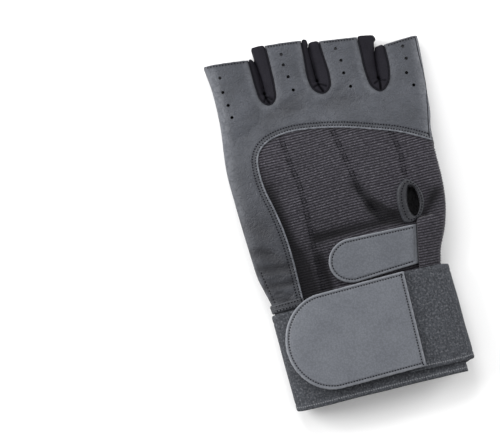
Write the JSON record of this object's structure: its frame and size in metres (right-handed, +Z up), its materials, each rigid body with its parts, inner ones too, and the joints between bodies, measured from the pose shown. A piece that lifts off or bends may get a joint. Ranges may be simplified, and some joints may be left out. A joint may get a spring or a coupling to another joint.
{
  "type": "weightlifting glove",
  "caption": "Right-hand fingerless leather glove with knit back, folded thumb, padded palm and an elastic wrist wrap closed by a rounded tab.",
  "frame": {"origin": "centre of the footprint on the surface that the glove lies on", "axes": "+Y towards the fingertips, +X towards the little finger, +Z up out of the back of the hand"},
  "size_m": [0.1138, 0.189, 0.0234],
  "materials": {
    "dyed_leather": "soft dyed leather with fine grain, dark blue-grey",
    "tab_leather": "smooth matt split leather, mid grey",
    "rib_knit": "ribbed stretch knit, charcoal",
    "black_stretch": "smooth stretch cloth, near black",
    "woven_elastic": "woven elastic webbing, charcoal",
    "hook_tape": "hook tape, black"
  },
  "bodies": {
    "root": {"back_yoke": "dyed_leather", "back_panel": "rib_knit", "palm_shell": "dyed_leather", "palm_fingers": "dyed_leather", "gusset_index_middle": "black_stretch", "gusset_middle_ring": "black_stretch", "gusset_ring_little": "black_stretch", "thumb_leather": "dyed_leather", "thumb_knit": "rib_knit", "palm_patch": "dyed_leather", "palm_bar_1": "dyed_leather", "palm_bar_2": "dyed_leather", "palm_bar_3": "dyed_leather", "slit_trim": "dyed_leather", "closure_strap": "tab_leather", "cuff_hem": "dyed_leather", "wrist_wrap": "woven_elastic", "hook_pad": "hook_tape", "wrap_tab": "tab_leather"}
  },
  "joints": []
}
